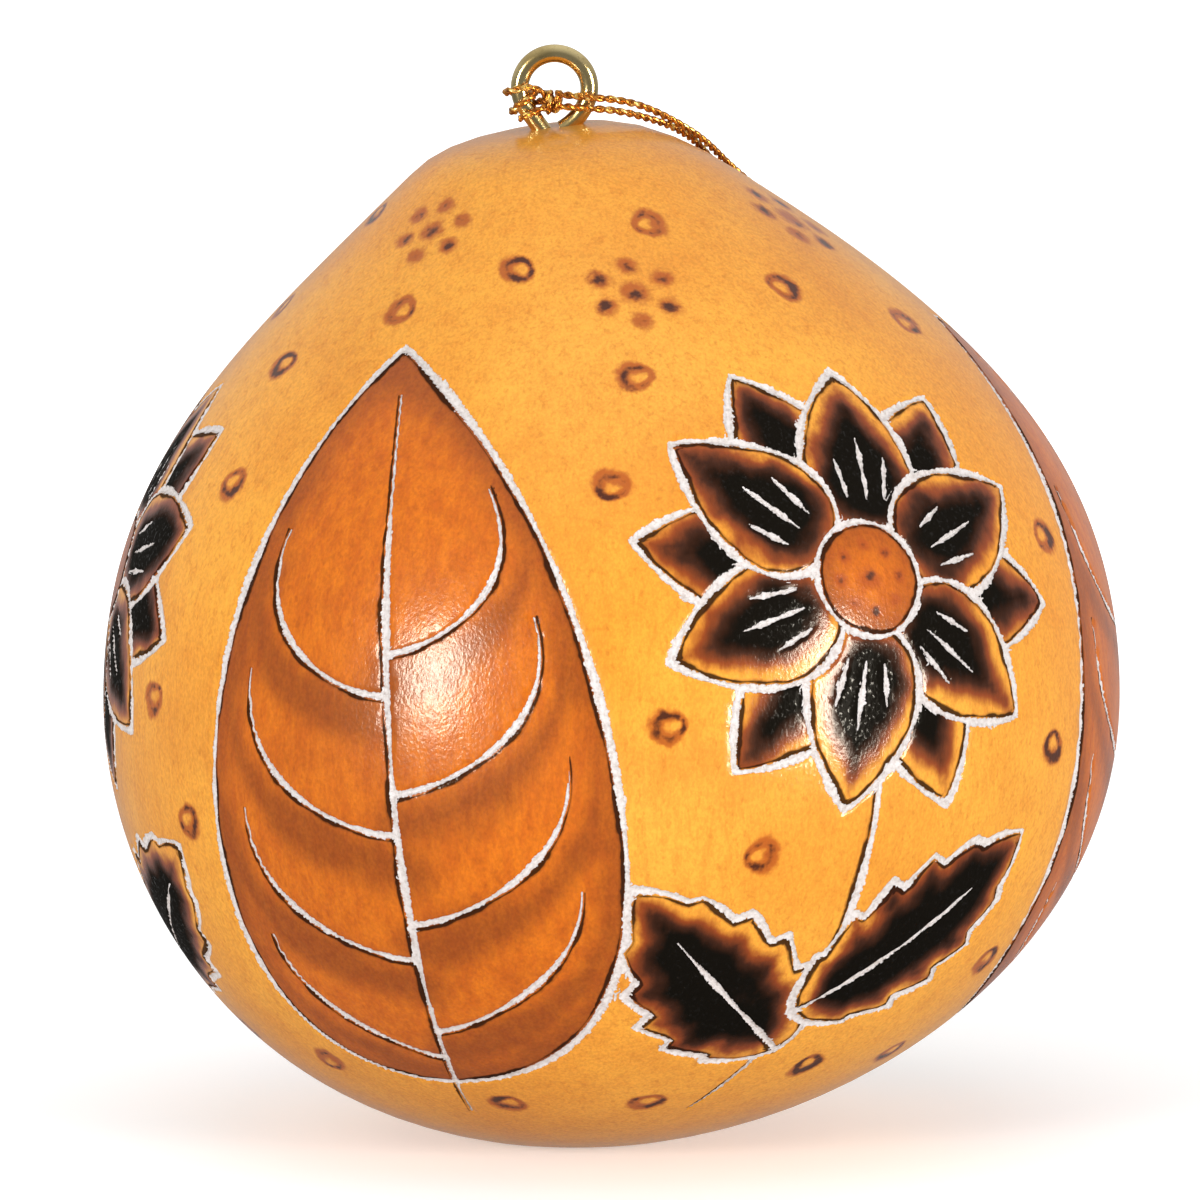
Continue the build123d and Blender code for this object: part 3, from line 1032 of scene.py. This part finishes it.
class Paint:
    """One node material. Each method adds a node and gives back its output, to feed into the next."""

    def __init__(self, name):
        """A new material, its surface node and the object's own places."""
        self.material = bpy.data.materials.new(name)
        self.material.use_nodes = True
        self.tree = self.material.node_tree
        self.surface = self.tree.nodes["Principled BSDF"]
        self.place = self.add("ShaderNodeTexCoord").outputs["Object"]

    def add(self, kind, **settings):
        """A new node of a kind, with its settings."""
        node = self.tree.nodes.new(kind)
        for name, value in settings.items():
            setattr(node, name, value)
        return node

    def feed(self, socket, value):
        """Links an output to a socket, or sets the socket to a fixed value."""
        if isinstance(value, bpy.types.NodeSocket):
            self.tree.links.new(value, socket)
        else:
            socket.default_value = value

    def attribute(self, name):
        """A number that the mesh keeps at each of its points."""
        return self.add("ShaderNodeAttribute", attribute_name=name).outputs["Fac"]

    def line_distance(self, name):
        """Distance from a line in its half widths: the length of the steps to it, and far if well outside."""
        ways = self.add("ShaderNodeAttribute", attribute_name=name).outputs["Vector"]
        flat = self.add("ShaderNodeVectorMath", operation="MULTIPLY")
        self.feed(flat.inputs[0], ways)
        self.feed(flat.inputs[1], (1.0, 1.0, 0.0))
        steps = self.add("ShaderNodeVectorMath", operation="LENGTH")
        self.feed(steps.inputs[0], flat.outputs[0])
        split = self.add("ShaderNodeSeparateXYZ")
        self.feed(split.inputs[0], ways)
        outside = self.ramp(split.outputs["Z"], *OUTSIDE, 0.0, FAR)
        return self.math("ADD", steps.outputs["Value"], outside)

    def noise(self, size, detail=2.0, roughness=0.5, place=None):
        """Noise from 0 to 1 with features of about a size in millimetres."""
        node = self.add("ShaderNodeTexNoise")
        self.feed(node.inputs["Vector"], place or self.place)
        self.feed(node.inputs["Scale"], 0.5 / (size * MM))
        self.feed(node.inputs["Detail"], detail)
        self.feed(node.inputs["Roughness"], roughness)
        return node.outputs["Fac"]

    def stretched(self, wide, deep, high):
        """Object places with each axis scaled."""
        node = self.add("ShaderNodeMapping")
        self.feed(node.inputs["Vector"], self.place)
        self.feed(node.inputs["Scale"], (wide, deep, high))
        return node.outputs["Vector"]

    def math(self, kind, first, second):
        """Two numbers added, multiplied or otherwise put together."""
        node = self.add("ShaderNodeMath", operation=kind)
        self.feed(node.inputs[0], first)
        self.feed(node.inputs[1], second)
        return node.outputs[0]

    def ramp(self, value, low, high, start=0.0, end=1.0):
        """A value eased from start to end as another goes from low to high."""
        node = self.add("ShaderNodeMapRange", interpolation_type="SMOOTHSTEP")
        for socket, given in zip(node.inputs, (value, low, high, start, end)):
            self.feed(socket, given)
        return node.outputs[0]

    def mix(self, share, first, second, blend="MIX"):
        """A first colour with a share of a second laid over it."""
        node = self.add("ShaderNodeMix", data_type="RGBA", blend_type=blend)
        self.feed(node.inputs[0], share)
        self.feed(node.inputs[6], first)
        self.feed(node.inputs[7], second)
        return node.outputs[2]

    def varied(self, value, noise, *reach):
        """A number with a noise, eased over a reach, added to it."""
        return self.math("ADD", value, self.ramp(noise, *reach))

    def laid(self, under, display, value, *reach, blend="MIX"):
        """A colour with a display colour laid over it as far as a value, eased over a reach, says."""
        return self.mix(self.ramp(value, *reach), under, colour(display), blend)

    def blend(self, share, first, second):
        """A number that lies a share of the way from a first to a second."""
        node = self.add("ShaderNodeMix", data_type="FLOAT")
        self.feed(node.inputs[0], share)
        self.feed(node.inputs[2], first)
        self.feed(node.inputs[3], second)
        return node.outputs[0]

    def bump(self, height, depth, normal=None):
        """A surface direction from a height field of a depth in millimetres."""
        node = self.add("ShaderNodeBump")
        self.feed(node.inputs["Strength"], 1.0)
        self.feed(node.inputs["Distance"], depth * MM)
        self.feed(node.inputs["Height"], height)
        if normal:
            self.feed(node.inputs["Normal"], normal)
        return node.outputs["Normal"]

    def finish(self, **values):
        """The material, its surface fed by socket names with underscores for spaces."""
        for name, value in values.items():
            self.feed(self.surface.inputs[name.replace("_", " ")], value)
        return self.material


def colour(display):
    """A colour given in the display's 0 to 255 as the linear values of materials, by the sRGB curve."""
    share = np.array(display) / 255
    linear = np.where(share <= 0.04045, share / 12.92, ((share + 0.055) / 1.055) ** 2.4)
    return (*linear.tolist(), 1.0)


def gourd_material():
    """Lacquered orange skin with amber stain, charred areas, burnt marks and pale carved flesh.

    Noises of several sizes roughen the edges of the design's fields, and each field lays its colours over
    the last. The lacquer is a clear coat that is thin on charred skin and absent from carved flesh.
    """
    paint = Paint("lacquered_gourd")
    grit = paint.noise(0.16, 3.0, 0.65)
    patch = paint.noise(1.3, 3.0, 0.6)
    chip = paint.noise(0.45, 2.0, 0.6)
    cloud = paint.noise(9.0, 3.0, 0.55)
    smoke = paint.noise(5.0, 3.0, 0.6)
    fibre = paint.noise(0.45, 4.0, 0.65, paint.stretched(1.0, 1.0, 0.25))
    fleck = paint.noise(0.22, 2.0, 0.6, paint.stretched(1.0, 1.0, 0.55))
    speck = paint.noise(0.12, 2.0, 0.6, paint.stretched(1.0, 1.0, 0.7))

    groove = paint.varied(paint.line_distance("groove_way"), grit, 0.25, 0.75, -0.28, 0.28)
    groove = paint.varied(groove, chip, 0.58, 0.74, 0.0, -0.5)
    char = paint.varied(paint.line_distance("char_way"), patch, 0.3, 0.7, -0.6, 0.9)
    mark = paint.varied(paint.attribute("mark"), chip, 0.25, 0.75, -0.25, 0.25)
    mark = paint.varied(mark, grit, 0.25, 0.75, -0.12, 0.12)
    scorched = paint.varied(mark, patch, 0.35, 0.65, -0.3, 0.6)
    burn = paint.varied(paint.attribute("burn"), smoke, 0.25, 0.75, -0.28, 0.28)
    burn = paint.varied(burn, patch, 0.2, 0.8, -0.05, 0.05)
    burn = paint.varied(burn, fibre, 0.25, 0.75, -0.04, 0.04)
    burn = paint.math("MULTIPLY", burn, paint.ramp(paint.attribute("burn"), 0.0, 0.12))
    shade = paint.varied(paint.attribute("shade"), smoke, 0.25, 0.75, -0.5, 0.6)
    tone = paint.attribute("tone")

    skin = paint.laid(colour(SKIN_DEEP), SKIN_LIGHT, cloud, 0.3, 0.7)
    skin = paint.laid(skin, SKIN_FIBRE, fibre, 0.4, 0.75, 0.0, 0.4)
    skin = paint.laid(skin, SKIN_SMOKE, smoke, 0.5, 0.8, 0.0, 0.35)
    skin = paint.laid(skin, SKIN_FLECK, fleck, 0.52, 0.74, 0.0, 0.35)
    stain = paint.laid(colour(STAIN_LIGHT), STAIN_DEEP, fibre, 0.3, 0.7)
    stain = paint.laid(stain, STAIN_SMOKE, smoke, 0.5, 0.75, 0.0, 0.4)
    stain = paint.laid(stain, STAIN_SHADE, shade, 1.5, 0.1, 0.0, 0.65)
    stain = paint.laid(stain, STAIN_FLECK, fleck, 0.52, 0.74, 0.0, 0.3)
    base = paint.mix(tone, skin, stain)
    base = paint.mix(1.0, base, paint.ramp(speck, 0.3, 0.7, 0.89, 1.1), "MULTIPLY")
    base = paint.laid(base, BURN_EDGE, burn, 0.04, 0.34)
    base = paint.laid(base, BURN_BROWN, burn, 0.24, 0.56)
    base = paint.laid(base, BURN_BLACK, burn, 0.46, 0.8)
    base = paint.laid(base, CHAR_BROWN, char, 2.4, 1.0, 0.0, 0.5, blend="DARKEN")
    base = paint.laid(base, CHAR_BLACK, char, 1.4, 0.6, 0.0, 0.9, blend="DARKEN")
    base = paint.laid(base, MARK_BROWN, mark, 1.7, 0.6, 0.0, 0.85)
    base = paint.laid(base, MARK_BLACK, scorched, 0.9, 0.1, 0.0, 0.92)
    flesh = paint.laid(colour(FLESH_LIGHT), FLESH_DULL, grit, 0.35, 0.8)
    pale = paint.ramp(groove, 1.02, 0.88)
    base = paint.mix(pale, base, flesh)

    peel = paint.bump(paint.noise(0.9, 2.0), 0.02)
    grain = paint.bump(paint.noise(0.12, 2.0, 0.5, paint.stretched(1.0, 1.0, 0.75)), 0.024, peel)
    gouge = paint.ramp(groove, 0.1, 1.1)
    torn = paint.math("MULTIPLY", pale, paint.math("SUBTRACT", grit, 1.0))
    chips = paint.bump(torn, 0.05, paint.bump(gouge, 0.06, grain))
    burnt = paint.math("MAXIMUM", paint.ramp(burn, 0.3, 0.7), paint.ramp(char, 1.6, 0.8))
    glints = paint.ramp(speck, 0.56, 0.7, 0.02, 0.5)
    lacquer = paint.blend(burnt, paint.ramp(fleck, 0.3, 0.7, 0.86, 0.66), glints)
    matt = paint.math("MAXIMUM", burnt, pale)
    return paint.finish(
        Base_Color=base,
        Roughness=paint.blend(matt, 0.5, 0.9),
        Specular_IOR_Level=GLOSS_LEVEL,
        Specular_Tint=GLOSS_TINT,
        Normal=chips,
        Coat_Weight=paint.blend(pale, lacquer, 0.0),
        Coat_Roughness=COAT_ROUGHNESS,
        Coat_Normal=chips,
    )


def brass_material():
    """Bright brass wire with dull patches and fine pits."""
    paint = Paint("drawn_brass")
    patch = paint.noise(1.2, 3.0)
    fine = paint.noise(0.1, 3.0)
    base = paint.laid(colour(BRASS_BRIGHT), BRASS_DULL, patch, 0.35, 0.7)
    base = paint.laid(base, BRASS_PITS, fine, 0.55, 0.75, 0.0, 0.35)
    return paint.finish(
        Base_Color=base,
        Metallic=1.0,
        Roughness=paint.ramp(patch, 0.3, 0.7, 0.12, 0.22),
        Normal=paint.bump(fine, 0.004),
    )


def thread_material():
    """Copper-gold foil with painted shade in its folds and painted glints."""
    paint = Paint("copper_gold_foil")
    foil = paint.noise(0.14, 2.0)
    painted_glint = paint.noise(0.35, 2.0)
    # Painted shade: the foil noise lays the darker shadow colour over about half the copper, as in shaded
    # folds
    base = paint.laid(colour(FOIL_COPPER), FOIL_SHADOW, foil, 0.3, 0.7)
    # Painted glints: bright spots laid into the foil's colour, standing in for highlights
    base = paint.laid(base, FOIL_PAINTED_GLINT, painted_glint, 0.55, 0.66, 0.0, 0.9)
    return paint.finish(
        Base_Color=base,
        Metallic=FOIL_METAL,
        Roughness=paint.ramp(foil, 0.3, 0.7, 0.18, 0.4),
        Normal=paint.bump(foil, 0.04),
    )


# Stage

def make_floor():
    """A floor that glows more with distance from the ornament, up to white, and isn't seen in gloss."""
    bpy.ops.mesh.primitive_plane_add(size=FLOOR_SIZE)
    floor = bpy.context.object
    floor.name = "floor"
    floor.location.z = -FLOOR_GAP * MM
    floor.visible_glossy = False
    paint = Paint("white_floor")
    white = (FLOOR_WHITE, FLOOR_WHITE, FLOOR_WHITE, 1.0)
    away = paint.add("ShaderNodeVectorMath", operation="LENGTH")
    paint.feed(away.inputs[0], paint.place)
    glow = paint.ramp(away.outputs["Value"], *FLOOR_REACH, *FLOOR_GLOW)
    material = paint.finish(
        Base_Color=white,
        Roughness=FLOOR_ROUGHNESS,
        Emission_Color=white,
        Emission_Strength=glow,
    )
    floor.data.materials.append(material)


def make_room():
    """A white room whose light grows evenly along one way, up and to the back."""
    world = bpy.data.worlds.new("studio")
    scene.world = world
    world.use_nodes = True
    nodes, links = world.node_tree.nodes, world.node_tree.links
    way = nodes.new("ShaderNodeVectorMath")
    way.operation = "DOT_PRODUCT"
    way.inputs[1].default_value = ROOM_WAY
    links.new(nodes.new("ShaderNodeTexCoord").outputs["Generated"], way.inputs[0])
    room = nodes.new("ShaderNodeMapRange")
    links.new(way.outputs["Value"], room.inputs["Value"])
    for socket, value in zip(room.inputs[1:5], ROOM_TURN + ROOM_LIGHT):
        socket.default_value = value
    nodes["Background"].inputs["Color"].default_value = (1.0, 1.0, 1.0, 1.0)
    links.new(room.outputs[0], nodes["Background"].inputs["Strength"])


def soft_box(name, azimuth, elevation, size, power, mirrored):
    """An area light that faces the ornament from its azimuth and elevation.

    One that gloss sees is tall and warm and gives no matt light. The others are square and white.
    """
    light = bpy.data.lights.new(name, "AREA")
    light.size = size
    if mirrored:
        light.shape = "RECTANGLE"
        light.size_y = size * SHINE_TALL
        light.color = SHINE_COLOUR
    light.energy = power
    box = bpy.data.objects.new(name, light)
    scene.collection.objects.link(box)
    turn, rise = np.radians(azimuth), np.radians(elevation)
    way = np.array([np.sin(turn) * np.cos(rise), -np.cos(turn) * np.cos(rise), np.sin(rise)])
    box.location = np.array(VIEW_CENTRE) * MM + way * BOX_DISTANCE
    box.rotation_euler = (np.pi / 2 - rise, 0.0, turn)
    box.visible_glossy = mirrored
    box.visible_diffuse = not mirrored


def make_camera():
    """A camera raised at the front, whose lens takes in the view's width at its distance."""
    camera = bpy.data.cameras.new("camera")
    camera.sensor_width = SENSOR_WIDTH
    camera.lens = SENSOR_WIDTH * VIEW_DISTANCE / VIEW_WIDTH
    camera.clip_end = CAMERA_REACH
    viewer = bpy.data.objects.new("camera", camera)
    scene.collection.objects.link(viewer)
    way = np.array([0.0, -np.cos(VIEW_ELEVATION), np.sin(VIEW_ELEVATION)])
    viewer.location = (np.array(VIEW_CENTRE) + way * VIEW_DISTANCE) * MM
    viewer.rotation_euler = (np.pi / 2 - VIEW_ELEVATION, 0.0, 0.0)
    scene.camera = viewer


make_floor()
make_room()
for box_name, box_values in SOFT_BOXES.items():
    soft_box(box_name, *box_values)
make_camera()
scene.view_settings.view_transform = "Standard"
thread = thread_material()
loop, loop_line = make_loop(thread)
turns = make_hitch(thread)
tie = make_knot(thread)
make_eye(brass_material())
make_skin(gourd_material())
